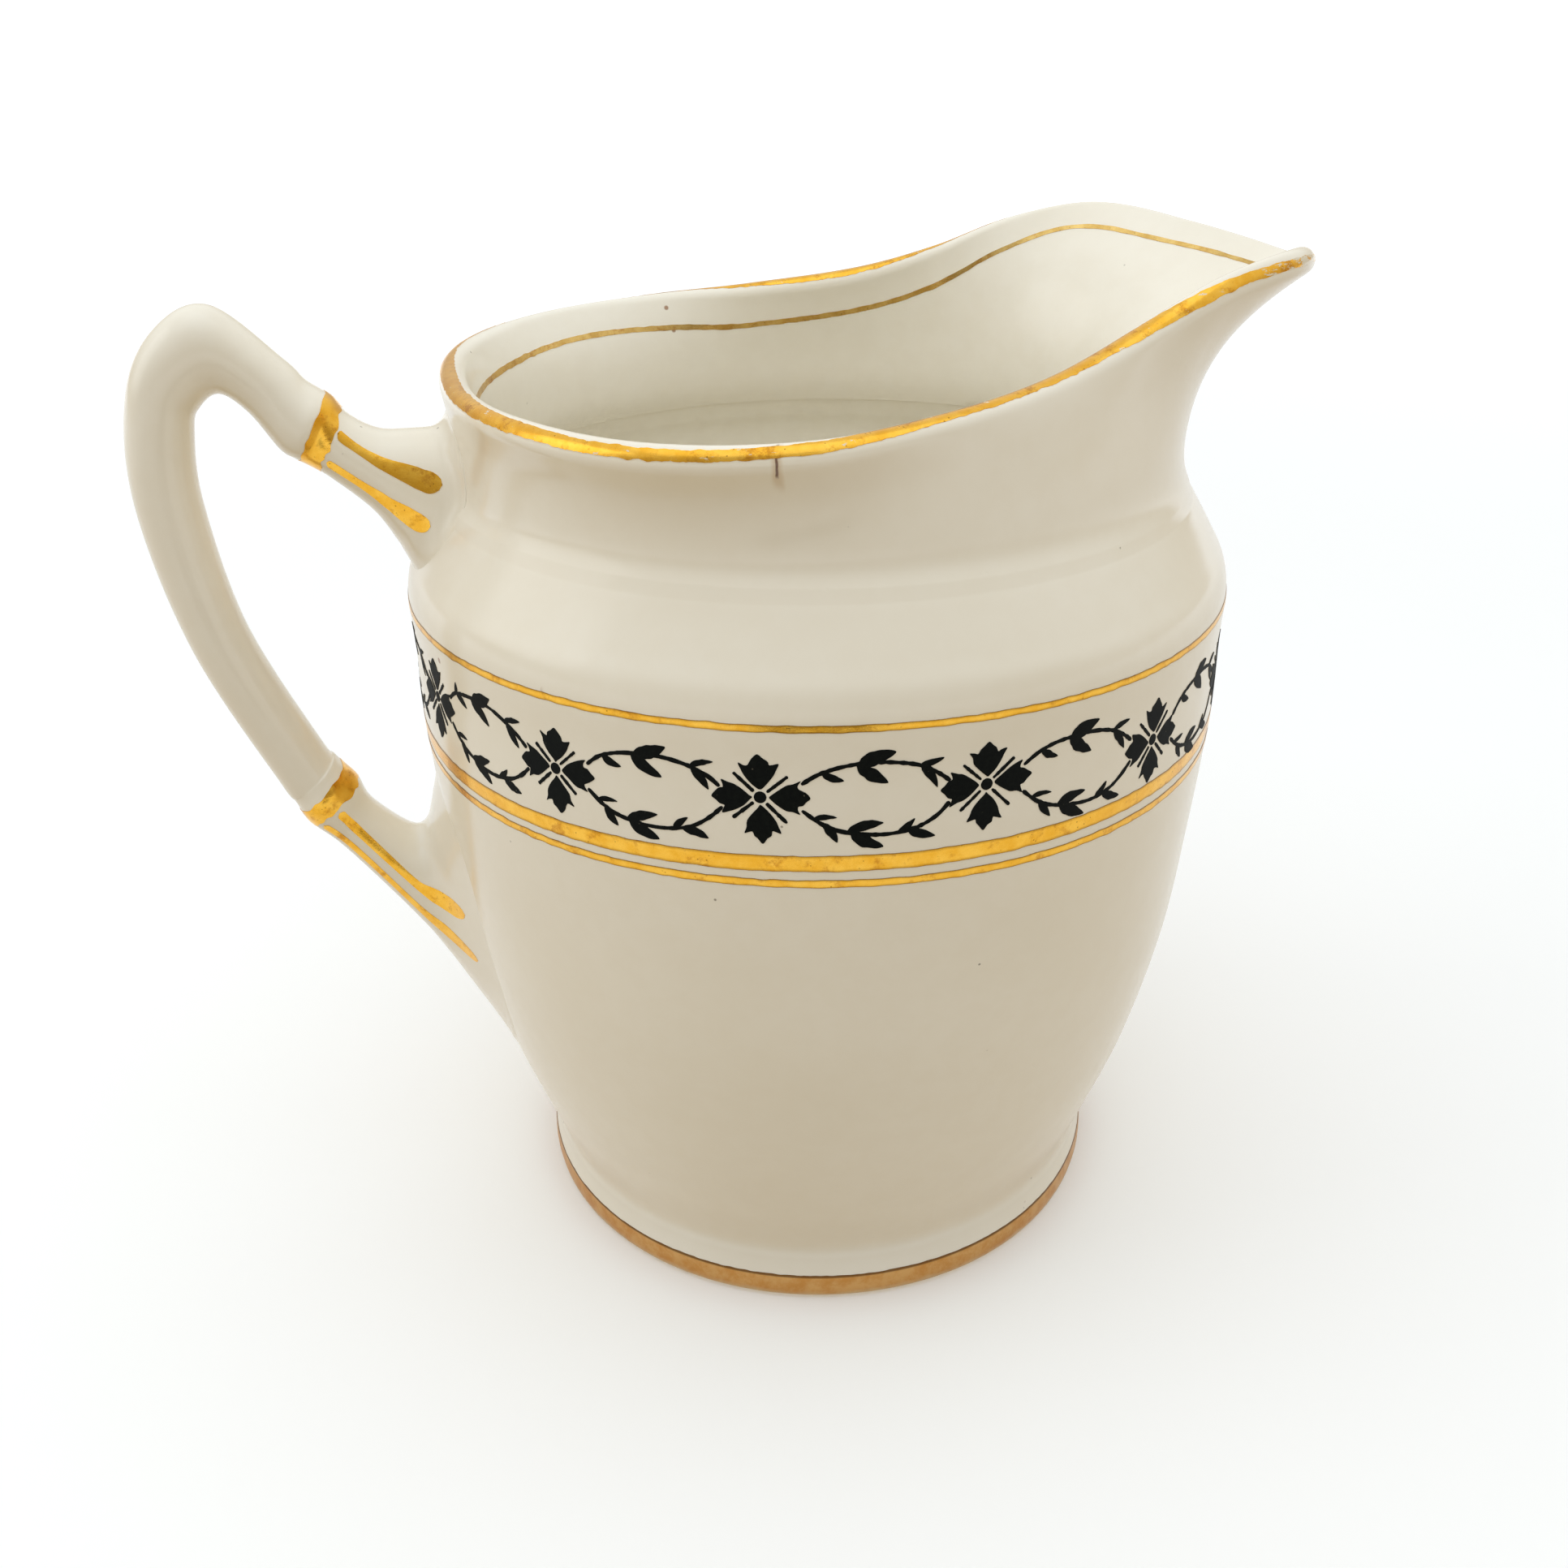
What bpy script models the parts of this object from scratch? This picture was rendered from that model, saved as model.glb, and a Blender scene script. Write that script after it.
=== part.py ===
"""Porcelain cream jug, built the way it is made: a hollow cast body, a cast loop handle, the two slip
joints that lute the handle on, and the coats of gold on the lip, belly, foot and handle.

Row frame: +Z up, +X from the handle to the pouring lip, z = 0 at the underside of the foot ring. The origin
is under the middle of the whole jug, so the turned axis of the body stands AXIS_X from it along +X.
"""

import functools
import math

import bmesh
import bpy
from mathutils import Vector

MM = 0.001

# Driving dimensions, in millimetres.
BELLY_R = 35.05  # widest radius, just below the shoulder
BELLY_Z = 52.0
SHOULDER_R = 34.7  # in the middle of the rounded turn from the side into the neck
SHOULDER_Z = 63.0
NECK_R = 30.25
NECK_Z = 72.5
LIP_R = 31.0  # outside of the lip before the spout is pulled
LIP_Z = 79.0  # top of the lip at the handle
CREASE_R = 27.1  # between the foot and the belly
CREASE_Z = 5.4
FOOT_R = 27.6
FOOT_RING = 3.4  # width of the ring that the jug stands on
FOOT_RECESS = 2.4
WALL = 2.6
LIP_WALL = 2.2
FLOOR_Z = 6.4  # top of the floor inside

SPOUT_REACH = 44.2  # from the turned axis to the tip of the spout
HANDLE_REACH = 54.6  # from the turned axis to the outside of the handle
AXIS_X = (HANDLE_REACH - SPOUT_REACH) / 2

# The lip once the spout is pulled: azimuth from the spout in degrees, outer radius and height.
LIP = [
    (0, SPOUT_REACH, 84.8),
    (6, 42.7, 85.5),
    (13, 40.5, 86.4),
    (28, 37.7, 87.5),
    (38, 33.4, 86.3),
    (50, 29.9, 83.7),
    (66, 28.6, 81.5),
    (88, 29.6, 80.0),
    (105, 31.8, 79.3),
    (125, 32.8, LIP_Z),
    (150, 31.7, LIP_Z),
    (180, 30.5, LIP_Z),
]
PULL_Z = 68.6  # the pull on the lip dies out at this height
PULL_EASE = 2.95  # above 1, the wall below the lip bends out in a hollow curve
RISE_EASE = 1.1
TIP_THINNING = 0.12  # share of the lip's thickness that the pull takes off at the tip of the spout
TIP_SPREAD = 14.0  # degrees from the spout over which it does so

SIDES = 60  # facets round the turned axis
LIP_STEPS = 4  # facets over the rounded lip
HANDLE_SIDES = 16
GAP = 0.3  # between two pieces that touch
SLIP = 0.5  # thickness of a slip joint
COAT_GAP = 0.2  # between the glaze and a coat of gold
COAT = 0.2  # thickness given to a coat of gold
GILT_LIP = (44, 98)  # how far the gold reaches over the lip, in degrees from outwards over the top

# Heights of the gilt bands on the body, lowest and highest.
FOOT_BAND = (0.6, 3.0)
NARROW_LINE = (48.3, 48.95)
WIDE_BAND = (49.65, 50.95)
SHOULDER_LINE = (60.55, 61.1)
INNER_LINE_DROP = (3.4, 4.0)  # below the top of the lip, inside

# The handle's outline from the upper root to the lower one: the edge away from the loop's opening, the edge
# next to it, as (distance from the turned axis, height), and half the width across the handle.
HANDLE = [
    ((27.6, 75.8), (31.4, 62.1), 5.6),
    ((30.6, 74.9), (34.1, 63.9), 5.0),
    ((33.2, 74.8), (35.3, 66.2), 4.3),
    ((35.6, 75.0), (36.9, 68.9), 3.7),
    ((37.6, 76.2), (39.8, 71.7), 3.2),
    ((38.7, 77.7), (41.3, 72.8), 3.1),
    ((39.5, 78.3), (42.2, 73.4), 3.6),
    ((40.5, 79.1), (43.2, 74.2), 3.4),
    ((41.8, 80.7), (45.0, 77.1), 3.0),
    ((46.5, 85.0), (46.8, 78.6), 3.1),
    ((50.5, 83.7), (48.4, 77.7), 3.1),
    ((53.5, 79.1), (49.2, 75.9), 3.0),
    ((HANDLE_REACH, 70.5), (49.6, 70.1), 2.8),
    ((52.6, 58.2), (48.1, 59.6), 2.8),
    ((47.9, 45.7), (44.0, 48.7), 2.8),
    ((47.0, 43.9), (43.0, 47.0), 2.9),
    ((46.4, 42.4), (42.3, 45.9), 3.2),
    ((45.7, 41.2), (41.4, 44.7), 2.9),
    ((43.3, 38.4), (40.5, 42.4), 2.7),
    ((37.9, 30.5), (37.7, 39.4), 3.9),
    ((36.0, 26.7), (36.2, 39.5), 5.1),
    ((33.8, 21.9), (35.3, 42.0), 8.0),
    ((30.8, 16.5), (33.8, 47.0), 12.6),
]
UPPER_KNUCKLE = (4.4, 5.7)  # places in HANDLE, counted in stations, that the gold covers
LOWER_KNUCKLE = (15.6, 16.95)
ROOT_STATIONS = 4  # at each end, that a slip joint needs

# Gilt strokes down the two roots: angle round the section in degrees from the edge away from the loop's
# opening, and the places where the stroke starts and ends. Those off that edge come in pairs.
UPPER_STROKES = {"upper_top_stroke": (64, 4.2, 1.4), "upper_side_stroke": (110, 4.2, 1.5)}
LOWER_STROKES = {"lower_side_stroke": (99, 17.15, 20.2), "lower_low_stroke": (64, 17.15, 20.3)}
MIDDLE_STROKES = {"upper_under_stroke": (180, 4.2, 1.7)}
STROKE_HALF_WIDTH = 0.75


def smooth_path(stations, steps):
    """Points on the Catmull-Rom curve through the stations, tuples of one length, both ends included."""
    last = len(stations) - 1
    return [smooth_at(stations, last * i / (last * steps)) for i in range(last * steps + 1)]


def smooth_at(stations, place):
    """The curve through the stations at a place counted in stations, such as 2.5."""
    last = len(stations) - 1
    i = min(max(int(math.floor(place)), 0), last - 1)
    t = place - i
    ends = [stations[min(max(i + k, 0), last)] for k in (-1, 0, 1, 2)]
    return tuple(
        0.5 * (2 * b + (c - a) * t + (2 * a - 5 * b + 4 * c - d) * t * t + (3 * b - a - 3 * c + d) * t**3)
        for a, b, c, d in zip(*ends)
    )


def lip_at(azimuth):
    """(radius, height) of the pulled lip at an azimuth in degrees from the spout, either way round."""
    azimuth = abs((azimuth + 180) % 360 - 180)
    i = max(k for k in range(len(LIP) - 1) if LIP[k][0] <= azimuth)
    # The lip is the same on both sides, so it runs on past each end as its mirror image.
    before = LIP[i - 1] if i else (-LIP[1][0], *LIP[1][1:])
    after = LIP[i + 2] if i + 2 < len(LIP) else (360 - LIP[-2][0], *LIP[-2][1:])
    a, b = LIP[i], LIP[i + 1]
    span = b[0] - a[0]
    t = (azimuth - a[0]) / span
    found = []
    for k in (1, 2):
        start = (b[k] - before[k]) / (b[0] - before[0]) * span
        end = (after[k] - a[k]) / (after[0] - a[0]) * span
        rise = b[k] - a[k]
        found.append(a[k] + start * t + (3 * rise - 2 * start - end) * t**2 + (start + end - 2 * rise) * t**3)
    return found


def pull_spout(x, y, z):
    """Moves a point of the turned neck to where pulling the spout leaves it, in millimetres. The middle of the
    wall moves with the lip, and a point keeps its distance from that middle, so the wall leans. Only at the tip is
    the wall drawn thinner."""
    if z <= PULL_Z:
        return x, y, z
    half = LIP_WALL / 2
    top = LIP_Z - half
    azimuth = math.degrees(math.atan2(y, x))
    lip_r, lip_z = lip_at(azimuth)

    def middle(height):
        share = (height - PULL_Z) / (top - PULL_Z)
        return side_at(height) - half + (lip_r - LIP_R) * share**PULL_EASE, height + (lip_z - LIP_Z) * share**RISE_EASE

    height = min(z, top)
    reach = math.hypot(x, y)
    out = reach - (side_at(height) - half)
    over = z - height
    share = (height - PULL_Z) / (top - PULL_Z)
    thinned = TIP_THINNING * math.exp(-((azimuth / TIP_SPREAD) ** 2)) * share**2
    slim = 1 - thinned * half / max(math.hypot(out, over), half)
    out *= slim
    over *= slim
    (r0, z0), (r1, z1) = middle(height - 0.01), middle(height)
    length = math.hypot(r1 - r0, z1 - z0)
    lean, rise = (r1 - r0) / length, (z1 - z0) / length
    moved = r1 + out * rise + over * lean
    return x * moved / reach, y * moved / reach, z1 - out * lean + over * rise


@functools.cache
def outer_profile():
    """The outside of the turned body from the foot up to the neck just under the lip."""
    foot = [(FOOT_R - 0.5, 0), (FOOT_R, 0.5), (FOOT_R - 0.3, 2.4)]
    belly = [
        (CREASE_R + 0.2, CREASE_Z - 1),
        (CREASE_R, CREASE_Z),
        (28.9, 11.2),
        (31.3, 19.0),
        (33.4, 29.5),
        (34.4, 40.0),
        (BELLY_R, BELLY_Z),
        (BELLY_R, SHOULDER_Z - 4),
        (SHOULDER_R, SHOULDER_Z),
        (33.7, 64.9),
    ]
    neck = [belly[-1], (31.9, 67.9), (30.6, 70.0), (NECK_R, NECK_Z), (30.35, 75.4), (LIP_R, LIP_Z - LIP_WALL / 2)]
    return foot + smooth_path(belly, 2) + smooth_path(neck, 3)[1:]


def side_at(height):
    """Outer radius of the turned body at a height."""
    for (r0, z0), (r1, z1) in zip(outer_profile(), outer_profile()[1:]):
        if z0 <= height <= z1:
            return r0 + (r1 - r0) * (height - z0) / (z1 - z0)
    return LIP_R


def lip_arc(radius, start, end, steps):
    """Points round the middle of the lip's rounded top, angles in degrees from outwards, over the top."""
    middle = (LIP_R - LIP_WALL / 2, LIP_Z - LIP_WALL / 2)
    angles = [math.radians(start + (end - start) * i / steps) for i in range(steps + 1)]
    return [(middle[0] + radius * math.cos(a), middle[1] + radius * math.sin(a)) for a in angles]


def inner_profile():
    """The inside of the wall from just under the lip down to the middle of the floor."""
    neck = [z for _, z in outer_profile() if NECK_Z - 4 < z < LIP_Z - LIP_WALL / 2 - 0.1]
    return [(side_at(z) - LIP_WALL, z) for z in [LIP_Z - LIP_WALL / 2] + neck[::-1]] + smooth_path(
        [
            (SHOULDER_R - 3.6, SHOULDER_Z + 3.4),
            (SHOULDER_R - WALL - 0.3, SHOULDER_Z - 1),
            (BELLY_R - WALL, BELLY_Z - 4),
            (33.4 - WALL, 29.5),
            (27.4, 16.5),
            (22.0, FLOOR_Z + 2.4),
            (14.0, FLOOR_Z + 0.4),
            (0, FLOOR_Z),
        ],
        2,
    )


def underside():
    """From the middle of the recess under the floor out to the ring that the jug stands on."""
    ring = FOOT_R - 0.5 - FOOT_RING
    return [(0, FOOT_RECESS), (ring - 1.6, FOOT_RECESS), (ring - 0.5, FOOT_RECESS - 0.6), (ring, 0)]


def turned(name, profile, material, parts, closed=True):
    """A named object from a profile in millimetres, turned by a Screw modifier and pulled with the spout."""
    mesh = bpy.data.meshes.new(name)
    edges = [(i, i + 1) for i in range(len(profile) - 1)]
    if closed:
        edges.append((len(profile) - 1, 0))
    mesh.from_pydata([(r * MM, 0, z * MM) for r, z in profile], edges, [])
    raw = bpy.data.objects.new(name + "_profile", mesh)
    parts.objects.link(raw)
    screw = raw.modifiers.new("turn", "SCREW")
    screw.steps = screw.render_steps = SIDES
    screw.use_merge_vertices = True
    screw.merge_threshold = 0.00001
    bpy.context.view_layer.update()
    evaluated = raw.evaluated_get(bpy.context.evaluated_depsgraph_get())
    solid = bpy.data.meshes.new_from_object(evaluated)
    bpy.data.objects.remove(raw)
    for vertex in solid.vertices:
        x, y, z = (c / MM for c in vertex.co)
        if math.hypot(x, y) > GAP:
            x, y, z = pull_spout(x, y, z)
        vertex.co = (x * MM, y * MM, z * MM)
    return finished(name, solid, material, parts)


def finished(name, mesh, material, parts):
    """Links a closed mesh as a named part with outward faces, smooth shading and its material."""
    shape = bmesh.new()
    shape.from_mesh(mesh)
    bmesh.ops.remove_doubles(shape, verts=shape.verts, dist=0.000001)
    bmesh.ops.recalc_face_normals(shape, faces=shape.faces)
    shape.to_mesh(mesh)
    shape.free()
    mesh.shade_smooth()
    mesh.set_sharp_from_angle(angle=math.radians(40))
    mesh.materials.clear()
    mesh.materials.append(material)
    mesh.name = name
    part = bpy.data.objects.new(name, mesh)
    part.location.x = AXIS_X * MM
    parts.objects.link(part)
    return part


def coat(line, inside=False):
    """A closed profile that lies COAT_GAP off a line on the wall and is COAT thick."""
    side = -1 if inside else 1
    near = [(r + side * COAT_GAP, z) for r, z in line]
    far = [(r + side * (COAT_GAP + COAT), z) for r, z in line]
    return near + far[::-1]


def band(name, heights, material, parts):
    """A gilt band round the outside of the body between two heights."""
    low, high = heights
    rows = [low, high]
    return turned(name, coat([(side_at(z), z) for z in rows]), material, parts)


def inner_line(material, parts):
    """The gilt line inside the mouth, which follows the lip at a constant drop."""
    high, low = (LIP_Z - drop for drop in INNER_LINE_DROP)
    wall = sorted((z, r) for r, z in inner_profile())

    def radius(height):
        (z0, r0), (z1, r1) = next(pair for pair in zip(wall, wall[1:]) if pair[0][0] <= height <= pair[1][0])
        return r0 + (r1 - r0) * (height - z0) / (z1 - z0)

    return turned("inner_lip_line", coat([(radius(z), z) for z in (low, high)], inside=True), material, parts)


def rim_gilding(material, parts):
    """The gold on the outer shoulder and the top of the lip."""
    radius = LIP_WALL / 2 + COAT_GAP
    outside, inside = GILT_LIP
    profile = lip_arc(radius, outside, inside, LIP_STEPS) + lip_arc(radius + COAT, inside, outside, LIP_STEPS)
    return turned("rim_gilding", profile, material, parts)


def section_point(place, angle, offset=0.0):
    """A point on the handle's skin in millimetres from the turned axis: place counted in stations of HANDLE,
    angle round the section in radians from the edge away from the loop's opening, towards +Y."""
    flat = [(*outer, *inner, half) for outer, inner, half in HANDLE]
    x0, z0, x1, z1, half = smooth_at(flat, place)
    middle = Vector((-(x0 + x1) / 2, 0, (z0 + z1) / 2))
    up = Vector((-(x0 - x1) / 2, 0, (z0 - z1) / 2))
    across = Vector((0, half, 0))
    up += up.normalized() * offset
    across += across.normalized() * offset
    return middle + up * math.cos(angle) + across * math.sin(angle)


def loft(rings, name, material, parts):
    """A solid through rings of points in millimetres, with a flat fan at each end."""
    count = len(rings[0])
    points = [p * MM for ring in rings for p in ring]
    faces = []
    for row in range(len(rings) - 1):
        for i in range(count):
            j = (i + 1) % count
            a, b = row * count, (row + 1) * count
            faces.append((a + i, a + j, b + j, b + i))
    faces.append(tuple(range(count)))
    faces.append(tuple(range((len(rings) - 1) * count, len(rings) * count)))
    mesh = bpy.data.meshes.new(name)
    mesh.from_pydata(points, [], faces)
    shape = bmesh.new()
    shape.from_mesh(mesh)
    bmesh.ops.triangulate(shape, faces=shape.faces)
    shape.to_mesh(mesh)
    shape.free()
    return finished(name, mesh, material, parts)


def handle_rings(first, last, steps):
    """Rings of points round the handle from one station to another."""
    places = [first + (last - first) * i / steps for i in range(steps + 1)]
    angles = [2 * math.pi * i / HANDLE_SIDES for i in range(HANDLE_SIDES)]
    return [[section_point(place, angle) for angle in angles] for place in places]


def turned_cutter(name, offsets, cutters):
    """A cutter that follows the outside of the body, between two offsets from it, or solid up to one."""
    heights = [8 + 70 * i / 28 for i in range(29)]
    outside = [(side_at(z) + offsets[-1], z) for z in reversed(heights)]
    if len(offsets) > 1:
        inside = [(side_at(z) + offsets[0], z) for z in heights]
        return turned(name, outside + inside, None, cutters)
    return turned(name, [(0, heights[-1])] + outside + [(0, heights[0])], None, cutters, closed=False)


def cut(part, tool, operation):
    modifier = part.modifiers.new(tool.name, "BOOLEAN")
    modifier.operation = operation
    modifier.object = tool


def build_handle(material, parts, cutters):
    last = len(HANDLE) - 1
    handle = loft(handle_rings(0, last, 2 * last), "handle", material, parts)
    cut(handle, turned_cutter("handle_seat_cutter", [2 * GAP + SLIP], cutters), "DIFFERENCE")
    return handle


def build_slip(name, first, last, material, parts, cutters):
    """The slip between a root of the handle and the body, in the gap that the handle's cutter leaves."""
    joint = loft(handle_rings(first, last, 2 * ROOT_STATIONS), name, material, parts)
    cut(joint, turned_cutter(name + "_cutter", [GAP, GAP + SLIP], cutters), "INTERSECT")
    return joint


def knuckle_gilding(name, stations, material, parts):
    """A sleeve of gold round a knuckle of the handle."""
    first, last = stations
    places = [first + (last - first) * i / 5 for i in range(6)]
    angles = [2 * math.pi * i / HANDLE_SIDES for i in range(HANDLE_SIDES)]
    rings = [[section_point(p, a, COAT_GAP) for a in angles] for p in places]
    rings += [[section_point(p, a, COAT_GAP + COAT) for a in angles] for p in reversed(places)]
    return band_of_rings(name, rings, material, parts)


def band_of_rings(name, rings, material, parts):
    """A ring-shaped solid: each ring is joined to the next, and the last to the first."""
    count = len(rings[0])
    points = [p * MM for ring in rings for p in ring]
    faces = []
    for row in range(len(rings)):
        for i in range(count):
            j = (i + 1) % count
            a, b = row * count, (row + 1) % len(rings) * count
            faces.append((a + i, a + j, b + j, b + i))
    mesh = bpy.data.meshes.new(name)
    mesh.from_pydata(points, [], faces)
    return finished(name, mesh, material, parts)


def stroke(name, degrees, first, last, material, parts):
    """A gilt brush stroke along a flute of the handle, pointed at both ends."""
    steps = 8
    sections = []
    for i in range(steps + 1):
        share = i / steps
        place = first + (last - first) * share
        middle = math.radians(degrees)
        wide = STROKE_HALF_WIDTH * (0.35 + 0.65 * math.sin(math.pi * min(share * 0.62 + 0.2, 1)))
        across = (section_point(place, middle + 0.01) - section_point(place, middle)).length / 0.01
        turn = wide / across
        low, high = COAT_GAP, COAT_GAP + COAT
        sections.append(
            [
                section_point(place, middle - turn, low),
                section_point(place, middle, low),
                section_point(place, middle + turn, low),
                section_point(place, middle + turn, high),
                section_point(place, middle, high),
                section_point(place, middle - turn, high),
            ]
        )
    return loft(sections, name, material, parts)


def material(name, colour, roughness, metallic):
    made = bpy.data.materials.new(name)
    made.use_nodes = True
    shader = made.node_tree.nodes["Principled BSDF"]
    shader.inputs["Base Color"].default_value = (*colour, 1)
    shader.inputs["Roughness"].default_value = roughness
    shader.inputs["Metallic"].default_value = metallic
    return made


def collection(name):
    made = bpy.data.collections.new(name)
    bpy.context.scene.collection.children.link(made)
    return made


def main():
    for item in list(bpy.data.objects):
        bpy.data.objects.remove(item)
    parts = collection("cream_jug")
    cutters = collection("cutters")
    porcelain = material("porcelain", (0.83, 0.79, 0.69), 0.12, 0)
    slip = material("slip", (0.86, 0.83, 0.75), 0.3, 0)
    gold = material("gilding", (0.83, 0.58, 0.16), 0.2, 1)

    lip = lip_arc(LIP_WALL / 2, 0, 180, LIP_STEPS)
    outline = underside() + outer_profile() + lip[1:-1] + inner_profile()
    turned("body", outline[::-1], porcelain, parts, closed=False)
    build_handle(porcelain, parts, cutters)
    last = len(HANDLE) - 1
    build_slip("upper_slip_joint", 0, ROOT_STATIONS, slip, parts, cutters)
    build_slip("lower_slip_joint", last - ROOT_STATIONS, last, slip, parts, cutters)

    rim_gilding(gold, parts)
    inner_line(gold, parts)
    band("shoulder_line", SHOULDER_LINE, gold, parts)
    band("belly_band", WIDE_BAND, gold, parts)
    band("belly_line", NARROW_LINE, gold, parts)
    band("foot_band", FOOT_BAND, gold, parts)
    knuckle_gilding("upper_knuckle_gilding", UPPER_KNUCKLE, gold, parts)
    knuckle_gilding("lower_knuckle_gilding", LOWER_KNUCKLE, gold, parts)
    for name, (degrees, first, end) in {**UPPER_STROKES, **LOWER_STROKES}.items():
        stroke(name + "_left", degrees, first, end, gold, parts)
        stroke(name + "_right", -degrees, first, end, gold, parts)
    for name, (degrees, first, end) in MIDDLE_STROKES.items():
        stroke(name, degrees, first, end, gold, parts)

    for tool in cutters.objects:
        tool.hide_render = True
        tool.display_type = "WIRE"


main()
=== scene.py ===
import math
import random

import bmesh
import bpy
import numpy as np
from mathutils import Matrix, Vector


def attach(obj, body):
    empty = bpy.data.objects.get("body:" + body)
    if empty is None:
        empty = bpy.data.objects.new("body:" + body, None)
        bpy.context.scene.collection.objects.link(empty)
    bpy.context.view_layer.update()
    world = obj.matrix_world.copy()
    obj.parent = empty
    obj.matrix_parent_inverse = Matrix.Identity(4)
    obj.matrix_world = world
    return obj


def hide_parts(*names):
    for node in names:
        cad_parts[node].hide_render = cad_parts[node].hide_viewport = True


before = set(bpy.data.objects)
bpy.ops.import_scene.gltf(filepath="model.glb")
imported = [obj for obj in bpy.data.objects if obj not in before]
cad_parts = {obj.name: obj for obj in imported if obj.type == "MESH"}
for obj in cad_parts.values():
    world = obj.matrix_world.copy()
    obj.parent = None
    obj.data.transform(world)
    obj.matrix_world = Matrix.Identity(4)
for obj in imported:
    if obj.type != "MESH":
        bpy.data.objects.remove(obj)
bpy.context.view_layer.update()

MM = 0.001

# ---------------------------------------------------------------- driving dimensions, in millimetres
AXIS_X = 5.2  # the turned axis of the body, from the row's origin
LIP_R = 31.0
LIP_Z = 79.0
LIP_WALL = 2.2
WALL = 2.6
FOOT_R = 27.6
FOOT_RING = 3.4
FOOT_RECESS = 2.4
FLOOR_Z = 6.4
PULL_Z = 68.6
PULL_EASE = 2.95
RISE_EASE = 1.1
TIP_THINNING = 0.12  # the wall is drawn this much thinner at the tip of the spout
TIP_SPREAD = 14.0  # degrees
FRIEZE_Z = 55.55  # middle of the printed frieze
VIEW_AZIMUTH = math.radians(-105)  # from the jug to the camera

# The pulled lip: azimuth from the spout in degrees, outer radius and height.
LIP = np.array(
    [
        (0, 44.2, 84.8),
        (6, 42.7, 85.5),
        (13, 40.5, 86.4),
        (28, 37.7, 87.5),
        (38, 33.4, 86.3),
        (50, 29.9, 83.7),
        (66, 28.6, 81.5),
        (88, 29.6, 80.0),
        (105, 31.8, 79.3),
        (125, 32.8, LIP_Z),
        (150, 31.7, LIP_Z),
        (180, 30.5, LIP_Z),
    ]
)

# The outside of the turned body, radius and height, from the top of the foot's bead to the lip.
SIDE = np.array(
    [
        (27.5, 2.6),
        (27.2, 4.4),
        (27.25, 6.2),
        (28.9, 11.2),
        (31.3, 19.0),
        (33.4, 29.5),
        (34.4, 40.0),
        (35.05, 50.0),
        (35.0, 57.0),
        (35.1, 60.8),
        (34.7, 63.0),
        (33.7, 64.9),
        (31.9, 67.9),
        (30.6, 70.0),
        (30.25, 72.5),
        (30.35, 75.4),
        (31.0, LIP_Z - LIP_WALL / 2),
    ]
)

# The handle from the upper root to the lower one: the edge away from the loop's opening, the edge next to it,
# as (distance from the turned axis, height), and half the width across.
HANDLE = np.array(
    [
        (27.6, 75.8, 31.4, 62.1, 5.6),
        (30.6, 74.9, 34.1, 63.9, 5.0),
        (33.2, 74.8, 35.3, 66.2, 4.3),
        (35.6, 75.0, 36.9, 68.9, 3.7),
        (37.6, 76.2, 39.8, 71.7, 3.2),
        (38.7, 77.7, 41.3, 72.8, 3.1),
        (39.5, 78.3, 42.2, 73.4, 3.6),
        (40.5, 79.1, 43.2, 74.2, 3.4),
        (41.8, 80.7, 45.0, 77.1, 3.0),
        (46.5, 85.0, 46.8, 78.6, 3.1),
        (50.5, 83.7, 48.4, 77.7, 3.1),
        (53.5, 79.1, 49.2, 75.9, 3.0),
        (54.6, 70.5, 49.6, 70.1, 2.8),
        (52.6, 58.2, 48.1, 59.6, 2.8),
        (47.9, 45.7, 44.0, 48.7, 2.8),
        (47.0, 43.9, 43.0, 47.0, 2.9),
        (46.4, 42.4, 42.3, 45.9, 3.2),
        (45.7, 41.2, 41.4, 44.7, 2.9),
        (43.3, 38.4, 40.5, 42.4, 2.7),
        (37.9, 30.5, 37.7, 39.4, 3.9),
        (36.0, 26.7, 36.2, 39.5, 5.1),
        (33.8, 21.9, 35.3, 42.0, 8.0),
        (30.8, 16.5, 33.8, 47.0, 12.6),
    ]
)
# The paired strokes of gold down the roots: angle round the section at the start and at the end in degrees,
# the places along the handle where each starts and ends, counted in stations, and its width.
PAIRED_STROKES = [
    ("upper_top", 60, 68, 4.3, 0.85, 1.7),
    ("upper_side", 116, 101, 4.3, 0.95, 1.6),
    ("lower_side", 97, 102, 17.05, 20.95, 1.7),
    ("lower_low", 56, 74, 17.05, 21.0, 1.6),
]
FILLET = 1.6  # radius of the slip and glaze in the corner between a root and the body
FILM = 0.035  # how far a coat of gold or ink stands off the glaze
SUNK = 0.04  # how far the underside of a coat lies in it
EDGE_LINE = 0.14  # width of the dark edge of a gilt band
LEAF_FULLNESS = 1.4  # how much wider the leaves of the frieze are than their slim outline

# ---------------------------------------------------------------- shape


def spline(stations, places):
    """Points on the Catmull-Rom curve through the stations, at places counted in stations."""
    stations = np.asarray(stations, float)
    last = len(stations) - 1
    places = np.asarray(places, float)
    i = np.clip(np.floor(places).astype(int), 0, last - 1)
    t = (places - i)[..., None]
    a, b, c, d = (stations[np.clip(i + k, 0, last)] for k in (-1, 0, 1, 2))
    return 0.5 * (2 * b + (c - a) * t + (2 * a - 5 * b + 4 * c - d) * t**2 + (3 * b - a - 3 * c + d) * t**3)


def even_spline(stations, steps):
    return spline(stations, np.linspace(0, len(stations) - 1, (len(stations) - 1) * steps + 1))


def folded(azimuth):
    """The angle from the spout, 0 to pi, either way round."""
    return np.abs((azimuth + np.pi) % (2 * np.pi) - np.pi)


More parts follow.
